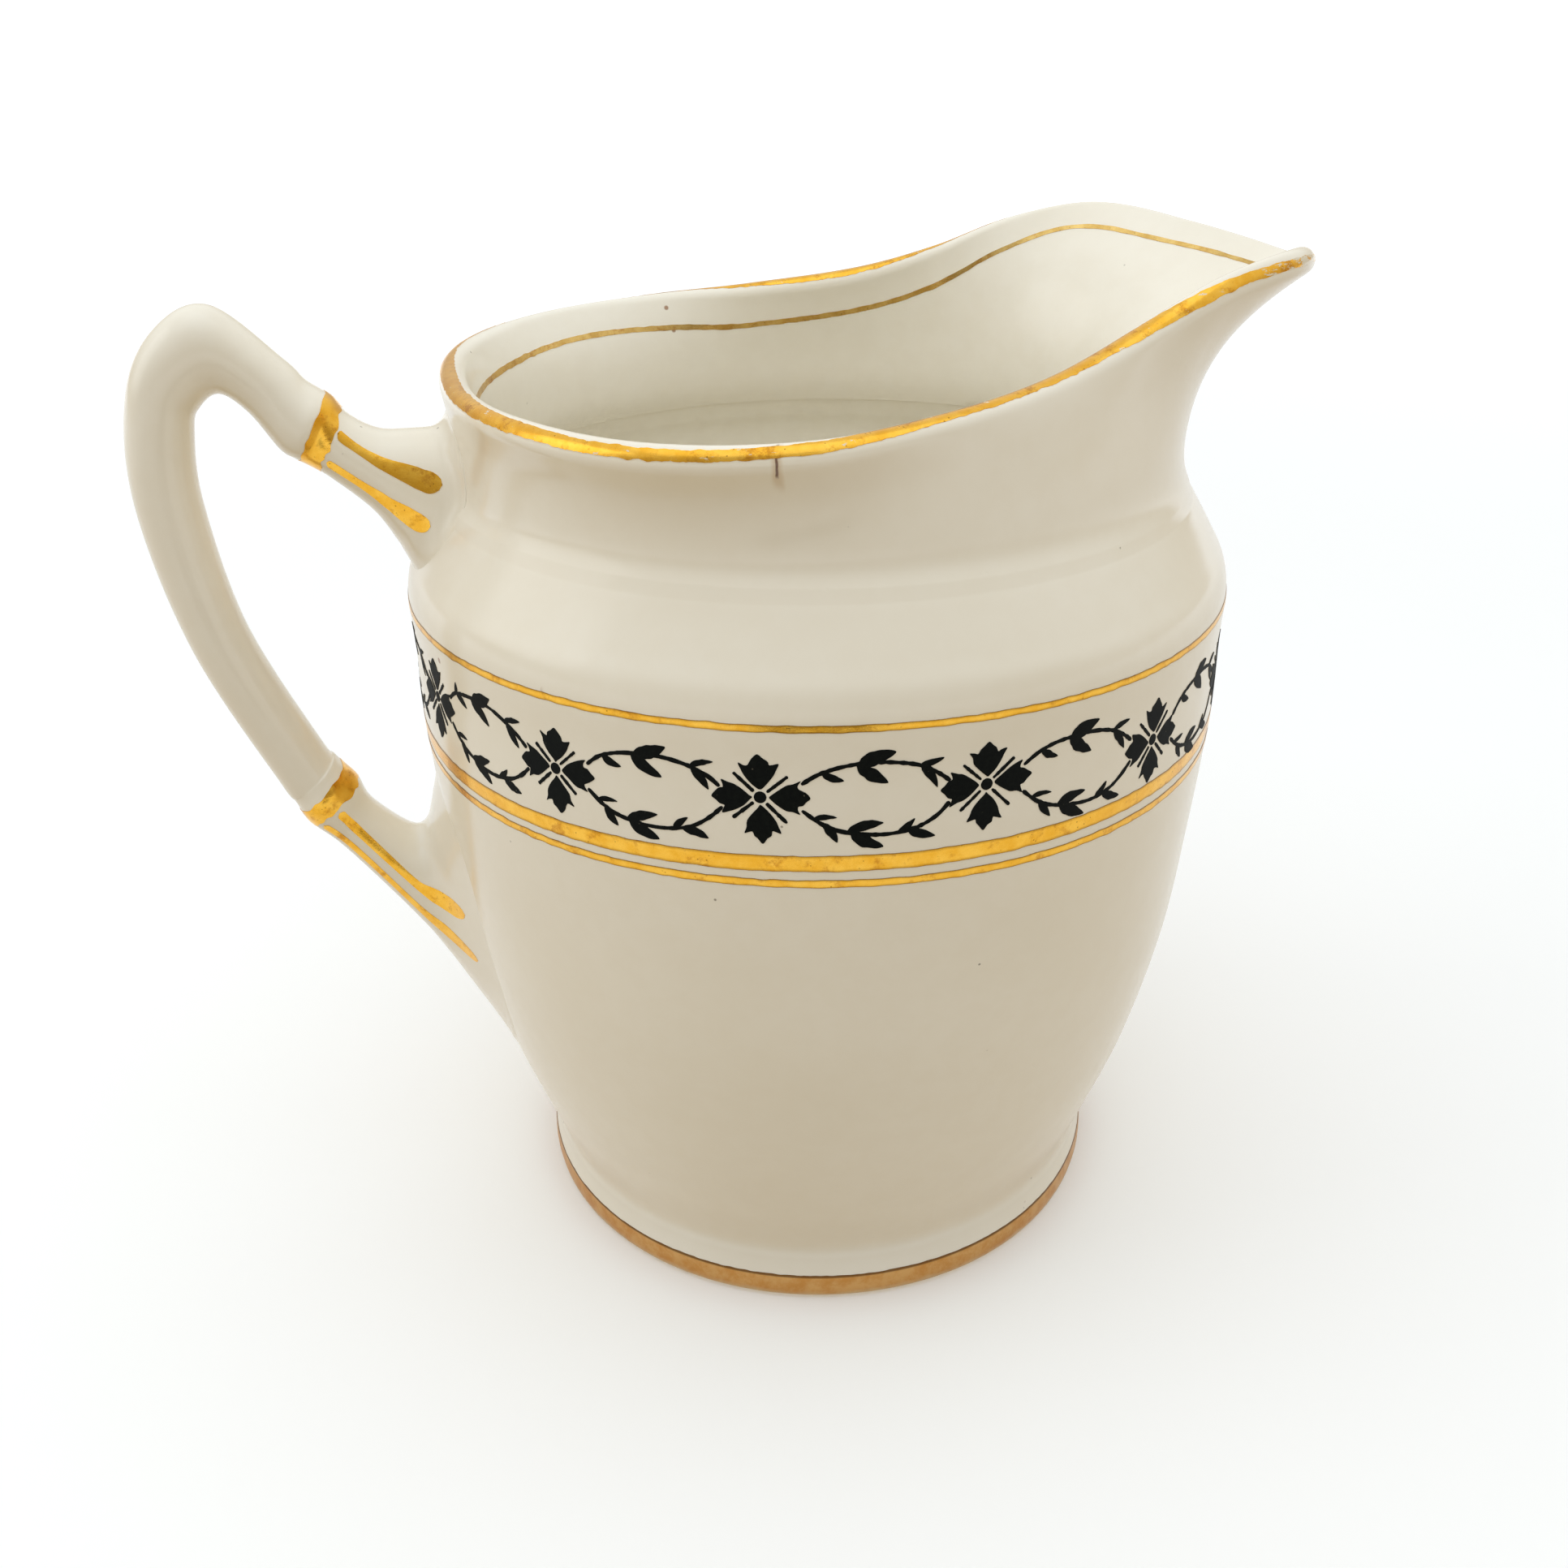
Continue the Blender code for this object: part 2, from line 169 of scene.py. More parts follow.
def lip_at(azimuth):
    """Radius and height of the pulled lip at azimuths in radians from the spout, by cubic Hermite steps."""
    degrees = np.degrees(folded(azimuth))
    mirrored = np.vstack([LIP[1] * (-1, 1, 1), LIP, LIP[-2] * (-1, 1, 1) + (360, 0, 0)])
    slopes = (mirrored[2:, 1:] - mirrored[:-2, 1:]) / (mirrored[2:, :1] - mirrored[:-2, :1])
    i = np.clip(np.searchsorted(LIP[:, 0], degrees, side="right") - 1, 0, len(LIP) - 2)
    span = LIP[i + 1, 0] - LIP[i, 0]
    t = ((degrees - LIP[i, 0]) / span)[..., None]
    span = span[..., None]
    start, end = slopes[i] * span, slopes[i + 1] * span
    rise = LIP[i + 1, 1:] - LIP[i, 1:]
    return LIP[i, 1:] + start * t + (3 * rise - 2 * start - end) * t**2 + (start + end - 2 * rise) * t**3


FINE_SIDE = even_spline(SIDE, 12)


def side_at(height):
    """Outer radius of the turned body at a height above the foot's bead."""
    return np.interp(height, FINE_SIDE[:, 1], FINE_SIDE[:, 0])


def uneven(azimuth, z):
    """The slight unevenness of a hand-finished casting."""
    return 0.05 * np.sin(2 * azimuth + z / 19) + 0.03 * np.sin(5 * azimuth - z / 9 + 1.3)


def pulled(r, z, azimuth):
    """Where a point of the turned body lies once the spout is pulled, in the row frame. The arrays broadcast.
    The middle of the wall moves with the lip, and a point keeps its distance from that middle, but for a
    slight thinning at the tip."""
    r, z, azimuth = np.broadcast_arrays(r, z, azimuth)
    half = LIP_WALL / 2
    top = LIP_Z - half
    lip = lip_at(azimuth)

    def middle(height):
        share = np.clip((height - PULL_Z) / (top - PULL_Z), 0, None)
        radius = side_at(height) - half + (lip[..., 0] - LIP_R) * share**PULL_EASE
        return radius, height + (lip[..., 1] - LIP_Z) * share**RISE_EASE

    height = np.minimum(z, top)
    share = np.clip((height - PULL_Z) / (top - PULL_Z), 0, 1)
    thinned = TIP_THINNING * np.exp(-((np.degrees(folded(azimuth)) / TIP_SPREAD) ** 2)) * share**2
    out = r - (side_at(height) - half)
    over = z - height
    slim = 1 - thinned * half / np.maximum(np.hypot(out, over), half)
    out = out * slim
    over = over * slim
    r0, z0 = middle(height - 0.02)
    r1, z1 = middle(height)
    length = np.hypot(r1 - r0, z1 - z0)
    lean, rise = (r1 - r0) / length, (z1 - z0) / length
    moved = r1 + out * rise + over * lean
    lifted = z1 - out * lean + over * rise
    above = z > PULL_Z
    radius = np.where(above, moved, r) + uneven(azimuth, z) * np.clip(r / 20, 0, 1)
    return np.stack(
        [AXIS_X + radius * np.cos(azimuth), radius * np.sin(azimuth), np.where(above, lifted, z)], axis=-1
    )


def lip_arc(radius, start, end, steps):
    """Points of the turned profile over the lip's rounded top, angles in degrees from outwards."""
    angles = np.radians(np.linspace(start, end, steps + 1))
    half = LIP_WALL / 2
    return np.stack([LIP_R - half + radius * np.cos(angles), LIP_Z - half + radius * np.sin(angles)], axis=-1)


def foot_profile():
    """From the middle of the recess under the floor, over the ring, to the top of its outer bead."""
    ring = FOOT_R - 0.7 - FOOT_RING
    recess = [(0.05, FOOT_RECESS + 0.3), (ring - 8, FOOT_RECESS + 0.1), (ring - 2, FOOT_RECESS)]
    recess.append((ring - 0.9, FOOT_RECESS - 0.4))
    resting = [(ring - 0.35, 0.5), (ring, 0.08), (ring + 0.5, 0), (FOOT_R - 1.0, 0), (FOOT_R - 0.45, 0.12)]
    bead = [(FOOT_R - 0.1, 0.5), (FOOT_R, 1.1), (FOOT_R - 0.02, 1.8)]
    return recess + resting + bead


def inner_profile():
    neck = [(side_at(z) - LIP_WALL, z) for z in np.linspace(LIP_Z - LIP_WALL / 2, 66.5, 26)]
    belly = [
        neck[-1],
        (side_at(63) - WALL, 63),
        (35.1 - WALL, 52),
        (34.4 - WALL, 40),
        (33.4 - WALL, 29.5),
        (27.6, 16.5),
        (22.0, FLOOR_Z + 2.2),
        (12.0, FLOOR_Z + 0.3),
        (0.05, FLOOR_Z),
    ]
    return np.vstack([neck, even_spline(belly, 7)[1:]])


def section(places, angles, offset=0.0):
    """Points on the handle's skin, in the row frame: places counted in stations of HANDLE, angles round the
    section in radians from the edge away from the loop's opening towards +Y."""
    places, angles = np.broadcast_arrays(places, angles)
    x0, z0, x1, z1, half = np.moveaxis(spline(HANDLE, places), -1, 0)
    grow = 1 + offset / (np.hypot(x0 - x1, z0 - z1) / 2)
    cos, sin = np.cos(angles), np.sin(angles)
    square = 1 + 0.035 * np.sin(2 * angles) ** 2  # a little squarer than an ellipse
    x = (x0 + x1) / 2 + (x0 - x1) / 2 * cos * grow * square
    z = (z0 + z1) / 2 + (z0 - z1) / 2 * cos * grow * square
    y = (half + offset) * sin * square
    return np.stack([AXIS_X - x, y, z], axis=-1)


def off_body(points):
    """Distance of points from the outside of the body, measured level with the ground."""
    x, y, z = points[..., 0] - AXIS_X, points[..., 1], points[..., 2]
    azimuth = np.arctan2(y, x)
    share = np.clip((z - PULL_Z) / (LIP_Z - LIP_WALL / 2 - PULL_Z), 0, 1)
    radius = side_at(z) + (lip_at(azimuth)[..., 0] - LIP_R) * share**PULL_EASE + uneven(azimuth, z)
    return np.hypot(x, y) - radius


def eased(share):
    share = np.clip(share, 0, 1)
    return share * share * (3 - 2 * share)


def settled(places, angles, offset=0.0):
    """The handle's skin with the thin edges of its two roots pressed onto the body."""
    places, angles = np.broadcast_arrays(places, angles)
    points = section(places, angles, offset)
    last = len(HANDLE) - 1
    for end, reach in ((0, 2.4), (last, 3.2)):
        proud = np.clip(off_body(section(np.full(angles.shape, float(end)), angles)) + 0.4, 0, None)
        drop = proud * eased(1 - np.abs(places - end) / reach)
        around = np.arctan2(points[..., 1], points[..., 0] - AXIS_X)
        points = points - drop[..., None] * np.stack([np.cos(around), np.sin(around), 0 * around], axis=-1)
    return points


def skin(places, angles, offset=0.0):
    """The settled skin with the slip and glaze that fill the corner where it meets the body."""
    places, angles = np.broadcast_arrays(places, angles)
    base = settled(places, angles, offset)
    aside = settled(places, angles + 0.01, offset) - base
    along = settled(places + 0.01, angles, offset) - base
    outward = np.cross(aside, along)
    outward /= np.linalg.norm(outward, axis=-1, keepdims=True) + 1e-12
    middle = (section(places, angles * 0) + section(places, angles * 0 + np.pi)) / 2
    outward *= np.sign(np.sum(outward * (base - middle), axis=-1, keepdims=True))
    radial = base - (AXIS_X, 0, 0)
    radial[..., 2] = 0
    radial /= np.linalg.norm(radial, axis=-1, keepdims=True)
    level = outward - np.sum(outward * radial, axis=-1, keepdims=True) * radial
    near = np.clip(1 - off_body(base) / FILLET, 0, 1)[..., None]
    return base + level * FILLET * (1 - np.sqrt(np.clip(1 - near**2, 0, 1)))


def root_places(angles, depth):
    """The first and last place along the handle, at each angle, where its skin is depth off the body."""
    fine = np.linspace(0, len(HANDLE) - 1, 1200)
    clear = off_body(settled(fine[:, None], angles[None])) > depth
    middle = len(fine) // 2
    first = middle - 1 - np.argmin(clear[middle - 1 :: -1], axis=0)
    last = middle + np.argmin(clear[middle:], axis=0)
    return fine[first], fine[last]


# ---------------------------------------------------------------- mesh building


def piece(name, points, faces, material, nodes=(), smooth=True, marks=None):
    """A mesh in the row frame, from points in millimetres, that stands for the CAD nodes. The marks are one
    value for each point, which a material reads as "mark"."""
    mesh = bpy.data.meshes.new(name)
    mesh.from_pydata((np.asarray(points, float).reshape(-1, 3) * MM).tolist(), [], faces)
    shape = bmesh.new()
    shape.from_mesh(mesh)
    if marks is not None:
        layer = shape.verts.layers.float.new("mark")
        for vertex, value in zip(shape.verts, np.asarray(marks, float).reshape(-1)):
            vertex[layer] = value
    bmesh.ops.remove_doubles(shape, verts=shape.verts, dist=1e-7)
    bmesh.ops.recalc_face_normals(shape, faces=shape.faces)
    shape.to_mesh(mesh)
    shape.free()
    if smooth:
        mesh.shade_smooth()
        mesh.set_sharp_from_angle(angle=math.radians(50))
    mesh.materials.append(material)
    made = bpy.data.objects.new(name, mesh)
    bpy.context.scene.collection.objects.link(made)
    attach(made, "root")
    if nodes:
        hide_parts(*nodes)
    return made


def grid_faces(rows, columns, close_rows=False, close_columns=True):
    faces = []
    for i in range(rows if close_rows else rows - 1):
        for j in range(columns if close_columns else columns - 1):
            k, m = (j + 1) % columns, (i + 1) % rows
            faces.append((i * columns + j, i * columns + k, m * columns + k, m * columns + j))
    return faces


def turned_shell(name, profile, marks, material, nodes, columns, close=False):
    """A solid from rows of the turned profile, each with a mark; close joins the last row to the first."""
    profile = np.asarray(profile, float)
    azimuths = np.linspace(0, 2 * np.pi, columns, endpoint=False)
    points = pulled(profile[:, :1], profile[:, 1:], azimuths[None])
    marks = np.repeat(marks, columns)
    faces = grid_faces(len(profile), columns, close_rows=close)
    return piece(name, points, faces, material, nodes, marks=marks)


def ragged(count, amount, seed, softness=2):
    """A closed row of small random offsets, for a hand-painted edge."""
    values = np.random.default_rng(seed).normal(size=count)
    for _ in range(softness):
        values = (np.roll(values, 1) + values + np.roll(values, -1)) / 3
    return values / values.std() * amount


def gilt_band(name, low, high, material, nodes, seed, columns=900, rows=8):
    """A film of gold round the body between two heights, with slightly ragged edges that are marked 1."""
    azimuths = np.linspace(0, 2 * np.pi, columns, endpoint=False)
    shares = 0.5 - 0.5 * np.cos(np.linspace(0, np.pi, rows))[:, None]
    lower = low + ragged(columns, 0.02, seed) + 0.04 * np.sin(azimuths * 2 + seed)
    upper = high + ragged(columns, 0.02, seed + 1) + 0.04 * np.sin(azimuths * 2 + seed + 0.4)
    z = lower[None] * (1 - shares) + upper[None] * shares
    top = pulled(side_or_bead(z) + FILM, z, azimuths[None])
    under = pulled(side_or_bead(z) - SUNK, z, azimuths[None])[::-1]
    points = np.concatenate([top, under])
    depth = np.minimum(z - lower, upper - z)
    marks = np.clip(1 - depth / EDGE_LINE, 0, 1)
    marks = np.concatenate([marks, marks[::-1]])
    faces = grid_faces(2 * rows, columns, close_rows=True)
    return piece(name, points, faces, material, nodes, marks=marks)


def side_or_bead(z):
    foot = np.array(foot_profile()[-5:] + [tuple(FINE_SIDE[0])])
    return np.where(z < FINE_SIDE[0, 1], np.interp(z, foot[:, 1], foot[:, 0]), side_at(z))


def build_body(material):
    outer = np.vstack([foot_profile(), FINE_SIDE])
    lip = lip_arc(LIP_WALL / 2, 0, 180, 16)
    inside = inner_profile()
    profile = np.vstack([outer[:-1], lip[:-1], inside])
    # The inside rows are marked by their depth below the lip, up to 1; the porcelain paints them whiter by
    # it, as painted light.
    deep = np.clip((LIP_Z - inside[:, 1]) / 16, 0, 1)
    marks = np.concatenate([np.zeros(len(profile) - len(inside)), deep])
    return turned_shell("jug_body", profile, marks, material, ["body"], 360)


def build_handle(material):
    columns = 72
    angles = np.linspace(0, 2 * np.pi, columns, endpoint=False)
    first, last = root_places(angles, -0.25)
    shares = np.linspace(0, 1, 340)[:, None]
    # More rows near the two roots, where the skin turns into the body.
    shares = 0.5 - 0.5 * np.cos(np.pi * shares) * (0.55 + 0.45 * np.abs(np.cos(np.pi * shares)) ** 2)
    shares = (shares - shares[0]) / (shares[-1] - shares[0])
    places = first + (last - first) * shares
    points = skin(places, angles[None])
    rows = len(shares)
    faces = grid_faces(rows, columns)
    caps = [points[0].mean(axis=0), points[-1].mean(axis=0)]
    allpoints = np.vstack([points.reshape(-1, 3), caps])
    for j in range(columns):
        k = (j + 1) % columns
        faces.append((rows * columns, k, j))
        faces.append((rows * columns + 1, (rows - 1) * columns + j, (rows - 1) * columns + k))
    return piece("jug_handle", allpoints, faces, material, ["handle"])


def build_slip(name, node, upper, material):
    """The pad of slip between a root of the handle and the body, hidden under the root's edges."""
    columns = 48
    angles = np.linspace(0, 2 * np.pi, columns, endpoint=False)
    ring = settled(root_places(angles, 0.3)[0 if upper else 1], angles)
    middle = ring.mean(axis=0)
    skins = []
    for depth, shares in ((0.1, np.linspace(0.05, 0.9, 12)), (0.45, np.linspace(0.88, 0.05, 12))):
        for share in shares:
            inner = middle + (ring - middle) * share
            around = np.arctan2(inner[:, 1], inner[:, 0] - AXIS_X)
            radius = np.hypot(inner[:, 0] - AXIS_X, inner[:, 1]) - off_body(inner) + depth
            x, y = AXIS_X + radius * np.cos(around), radius * np.sin(around)
            skins.append(np.stack([x, y, inner[:, 2]], axis=-1))
    faces = grid_faces(len(skins), columns)
    faces.append(tuple(range(columns)))
    faces.append(tuple((len(skins) - 1) * columns + j for j in range(columns)))
    return piece(name, np.array(skins), faces, material, [node])


def lip_tilt(azimuths):
    """How far the wall leans outward under the lip, in degrees from upright."""
    edge = LIP_Z - LIP_WALL / 2
    foot, head = (pulled(LIP_R - LIP_WALL / 2, height, azimuths) for height in (edge - 0.3, edge))
    run = np.hypot(head[:, 0] - AXIS_X, head[:, 1]) - np.hypot(foot[:, 0] - AXIS_X, foot[:, 1])
    return np.degrees(np.arctan2(run, head[:, 2] - foot[:, 2]))


def build_rim_gilding(material):
    columns = 1000
    azimuths = np.linspace(0, 2 * np.pi, columns, endpoint=False)
    tilt = lip_tilt(azimuths)
    start = 46 + 0.22 * tilt + ragged(columns, 1.6, 11, 1) + 4 * np.sin(3 * azimuths + 1)
    end = 108 - 0.45 * tilt + ragged(columns, 1.8, 12, 1) + 3 * np.sin(2 * azimuths)
    layers = []
    for radius, order in ((LIP_WALL / 2 + FILM, 1), (LIP_WALL / 2 - SUNK, -1)):
        for share in np.linspace(0, 1, 7)[::order]:
            angle = np.radians(start + (end - start) * share)
            r = LIP_R - LIP_WALL / 2 + radius * np.cos(angle)
            z = LIP_Z - LIP_WALL / 2 + radius * np.sin(angle)
            layers.append(pulled(r, z, azimuths))
    points = np.stack(layers)
    faces = grid_faces(len(layers), columns, close_rows=True)
    return piece("lip_gold", points, faces, material, ["rim_gilding"])


def below_lip(drops, azimuths):
    """Heights on the turned wall that lie drops below the lip, measured down the pulled wall, by azimuth."""
    heights = np.linspace(LIP_Z - LIP_WALL / 2, LIP_Z - 12, 240)
    wall = pulled(side_at(heights)[:, None] - LIP_WALL, heights[:, None], azimuths[None])
    steps = np.linalg.norm(np.diff(wall, axis=0), axis=-1)
    run = LIP_WALL / 2 + np.vstack([0 * azimuths, np.cumsum(steps, axis=0)])
    return np.array([np.interp(drop, run[:, k], heights) for k, drop in enumerate(drops)])


def build_inner_line(material):
    columns = 900
    azimuths = np.linspace(0, 2 * np.pi, columns, endpoint=False)
    high = below_lip(3.45 + ragged(columns, 0.02, 22), azimuths)
    low = below_lip(3.95 + ragged(columns, 0.02, 21), azimuths)
    layers = []
    for offset, order in ((FILM, 1), (-SUNK, -1)):
        for share in np.linspace(0, 1, 4)[::order]:
            z = low + (high - low) * share
            layers.append(pulled(side_at(z) - LIP_WALL - offset, z, azimuths))
    points = np.stack(layers)
    faces = grid_faces(len(layers), columns, close_rows=True)
    return piece("inner_gold_line", points, faces, material, ["inner_lip_line"])


def build_knuckle(name, node, first, last, material, seed):
    columns = 120
    angles = np.linspace(0, 2 * np.pi, columns, endpoint=False)
    start = first + ragged(columns, 0.05, seed, 4)
    end = last + ragged(columns, 0.05, seed + 1, 4)
    layers = []
    for offset, order in ((FILM, 1), (-SUNK, -1)):
        for share in np.linspace(0, 1, 16)[::order]:
            layers.append(skin(start + (end - start) * share, angles, offset))
    points = np.stack(layers)
    return piece(name, points, grid_faces(len(layers), columns, close_rows=True), material, [node])


def build_stroke(name, node, degrees, first, last, width, material, seed):
    """One brush stroke of gold down a root: a thin start at the knuckle that swells into a rounded end."""
    rows, columns = 60, 11
    shares = np.linspace(0, 1, rows)
    swell = 0.45 + 0.55 * np.clip((shares - 0.25) / 0.5, 0, 1) ** 1.3
    rounded_end = np.sqrt(np.clip(1 - np.clip((shares - 0.86) / 0.14, 0, 1) ** 2, 0.0, 1))
    half = width / 2 * swell * rounded_end * np.sqrt(np.clip(shares / 0.03, 0, 1)) + 0.01
    wavering = np.random.default_rng(seed).normal(size=12)
    half = half * (1 + 0.06 * np.interp(shares, np.linspace(0, 1, 12), wavering))
    places = first + (last - first) * shares
    start, end = degrees
    middle = np.radians(start + (end - start) * shares)
    step = 0.01
    reach = np.linalg.norm(section(places, middle + step) - section(places, middle), axis=-1) / step
    across = np.linspace(-1, 1, columns)
    angles = middle[:, None] + (half / reach)[:, None] * across
    top = skin(places[:, None], angles, FILM)
    under = skin(places[:, None], angles, -SUNK)
    points = np.concatenate([top, under])
    faces = grid_faces(rows, columns, close_columns=False)
    count = rows * columns
    faces += [tuple(count + v for v in reversed(face)) for face in faces]
    edge = list(range(columns))
    edge += [i * columns + columns - 1 for i in range(1, rows)]
    edge += [(rows - 1) * columns + j for j in range(columns - 2, -1, -1)]
    edge += [i * columns for i in range(rows - 2, 0, -1)]
    for a, b in zip(edge, edge[1:] + edge[:1]):
        faces.append((b, a, count + a, count + b))
    return piece(name, points, faces, material, [node])


# ---------------------------------------------------------------- the printed frieze


def petal(turn, length, wide, wild):
    """Outline of a three-lobed spade petal that grows from the flower's middle, in millimetres."""
    half = [
        (0.62, 0.0),
        (0.78, 0.16),
        (1.25, 0.52),
        (1.85, 0.88),
        (2.35, 1.0),
        (2.85, 1.16),
        (2.72, 0.86),
        (2.68, 0.62),
        (3.0, 0.52),
        (3.28, 0.3),
    ]
    tip = (3.62, 0.0)
    points = [(x * length, y * wide) for x, y in half] + [(tip[0] * length, 0)]
    points += [(x * length, -y * wide) for x, y in reversed(half[1:])]
    points = [(x + wild.uniform(-0.05, 0.05), y + wild.uniform(-0.05, 0.05)) for x, y in points]
    c, s = math.cos(turn), math.sin(turn)
    return [(x * c - y * s, x * s + y * c) for x, y in rounded(points, 3)]


def rounded(points, steps):
    """A closed Catmull-Rom outline through the points."""
    ring = np.array(points[-1:] + points + points[:2])
    return [tuple(p) for p in spline(ring, np.arange(steps * len(points)) / steps + 1)]


def leaf(base, tip, wide, wild, bow=0.12):
    """Outline of a slim leaf from base to tip."""
    (x0, y0), (x1, y1) = base, tip
    dx, dy = x1 - x0, y1 - y0
    length = math.hypot(dx, dy)
    nx, ny = -dy / length, dx / length
    bend = bow * length * wild.uniform(0.4, 1.2) * wild.choice((-1, 1))
    up, down = [], []
    for i in range(9):
        t = i / 8
        swell = wide / 2 * (math.sin(math.pi * t**0.8) ** 0.8 + 0.12) * wild.uniform(0.88, 1.12)
        middle = bend * 4 * t * (1 - t) * 0.5
        cx, cy = x0 + dx * t + nx * middle, y0 + dy * t + ny * middle
        up.append((cx + nx * swell, cy + ny * swell))
        down.append((cx - nx * swell, cy - ny * swell))
    return rounded(up + down[::-1], 2)


def ribbon(points, wide, wild):
    """Outline of a vine or stroke along points, a little uneven in width."""
    line = even_spline(points, 6)
    slope = np.gradient(line, axis=0)
    slope /= np.linalg.norm(slope, axis=1, keepdims=True)
    normal = np.stack([-slope[:, 1], slope[:, 0]], axis=-1)
    half = np.array([wide / 2 * wild.uniform(0.8, 1.25) for _ in line])
    half[0] *= 0.6
    half[-1] *= 0.6
    up, down = line + normal * half[:, None], line - normal * half[:, None]
    return [tuple(p) for p in np.vstack([up, down[::-1]])]


def flower(wild):
    """Outlines of one flower about its middle."""
    shapes = [rounded([(0.45 * math.cos(a), 0.45 * math.sin(a)) for a in np.linspace(0, 5.5, 8)], 3)]
    for turn, length, wide in ((0, 0.98, 1.1), (90, 0.92, 1.2), (180, 0.96, 1.15), (270, 1.0, 1.15)):
        shapes.append(petal(math.radians(turn + wild.uniform(-4, 4)), length, wide, wild))
    for turn in (42, 137, 223, 316):
        a = math.radians(turn + wild.uniform(-3, 3))
        near, far = 0.62, wild.uniform(2.4, 2.75)
        ends = [(reach * math.cos(a), reach * math.sin(a)) for reach in (near, 1.7, far)]
        shapes.append(ribbon(ends, wild.uniform(0.2, 0.27), wild))
    return shapes


def vine(pitch, wild):
    """Outlines of the two vines between a flower and the next, which is pitch along."""
    stretch = pitch / 16.0

    def at(x, y):
        return x * stretch + wild.uniform(-0.06, 0.06), y + wild.uniform(-0.05, 0.05)

    upper = [at(2.9, 1.05), at(4.1, 1.9), at(5.6, 2.38), at(7.4, 2.62)]
    upper += [at(9.2, 2.58), at(11.0, 2.15), at(12.3, 1.45), at(13.2, 0.75)]
    lower = [at(2.9, -0.95), at(4.2, -2.0), at(5.6, -2.6), at(7.4, -2.98)]
    lower += [at(9.2, -3.0), at(11.0, -2.62), at(12.3, -1.85), at(13.3, -0.9)]
    shapes = [ribbon(upper, 0.3, wild), ribbon(lower, 0.3, wild)]
    leaves = [
        (at(4.3, 2.0), at(5.75, 1.3), 0.38),
        (at(6.8, 2.5), at(9.3, 3.4), 0.72),
        (at(6.7, 2.55), at(8.85, 1.05), 0.62),
        (at(11.0, 2.2), at(12.7, 2.62), 0.3),
        (at(11.1, 2.15), at(12.3, 0.4), 0.42),
        (at(4.3, -1.9), at(5.3, -3.5), 0.42),
        (at(3.7, -1.6), at(5.3, -1.5), 0.26),
        (at(6.0, -2.7), at(8.5, -2.05), 0.5),
        (at(6.2, -2.75), at(8.5, -4.0), 0.62),
        (at(9.6, -2.95), at(10.7, -1.95), 0.34),
        (at(10.3, -2.8), at(12.2, -3.45), 0.46),
    ]
    if wild.random() < 0.5:
        leaves.append((at(4.2, 1.9), at(4.35, 3.0), 0.26))
    return shapes + [leaf(base, tip, wide * LEAF_FULLNESS, wild) for base, tip, wide in leaves]


def build_frieze(material):
    """The black transfer print: flowers joined by vines, as one film of many small shapes on the glaze."""
    wild = random.Random(4)
    middle = math.radians(-105 - 6.3)
    near_pitch = math.radians(26.35)
    far_pitch = (2 * math.pi - 4 * near_pitch) / 10
    azimuths = [middle - 2 * near_pitch + k * near_pitch for k in range(5)]
    azimuths += [azimuths[-1] + (k + 1) * far_pitch for k in range(9)]
    # The print wasn't laid on quite level: each flower's height off the middle line.
    heights = [0.3, -0.35, 0.0, 0.0, -0.8, -0.6, -0.3, 0.0, 0.2, 0.0, -0.2, 0.1, 0.3, 0.4]
    reach = side_at(FRIEZE_Z)
    outlines = []
    for k, azimuth in enumerate(azimuths):
        after = azimuths[k + 1] if k + 1 < len(azimuths) else azimuths[0] + 2 * math.pi
        here, there = heights[k], heights[(k + 1) % len(heights)]
        pitch = (after - azimuth) * reach
        for shape in flower(wild):
            outlines.append([(azimuth + x / reach, FRIEZE_Z + here + y) for x, y in shape])
        climb = (there - here) / pitch
        for shape in vine(pitch, wild):
            outlines.append([(azimuth + x / reach, FRIEZE_Z + here + climb * x + y) for x, y in shape])
    points, faces = [], []
    for number, outline in enumerate(outlines):
        lift = FILM + 0.002 * (number % 5)
        film_of(outline, lift, points, faces)
    return piece("printed_frieze", np.array(points), faces, material, smooth=False)


def film_of(outline, lift, points, faces):
    """Adds a closed film of one flat outline, given as (azimuth, height), laid on the body."""
    shape = bmesh.new()
    reach = float(side_at(FRIEZE_Z))
    ring = [shape.verts.new((a * reach, z, 0)) for a, z in outline]
    edges = [shape.edges.new((ring[i - 1], ring[i])) for i in range(len(ring))]
    bmesh.ops.triangle_fill(shape, edges=edges, use_beauty=True, use_dissolve=False, normal=(0, 0, 1))
    shape.verts.index_update()
    flat = np.array([v.co[:] for v in shape.verts])
    triangles = [[v.index for v in face.verts] for face in shape.faces]
    rim = [(e.verts[0].index, e.verts[1].index) for e in shape.edges if e.is_boundary]
    shape.free()
    start = len(points)
    count = len(flat)
    for offset in (lift, -SUNK):
        placed = pulled(side_at(flat[:, 1]) + offset, flat[:, 1], flat[:, 0] / reach)
        points.extend(placed)
    for a, b, c in triangles:
        faces.append((start + a, start + b, start + c))
        faces.append((start + count + c, start + count + b, start + count + a))
    for a, b in rim:
        faces.append((start + a, start + b, start + count + b, start + count + a))


# ---------------------------------------------------------------- materials


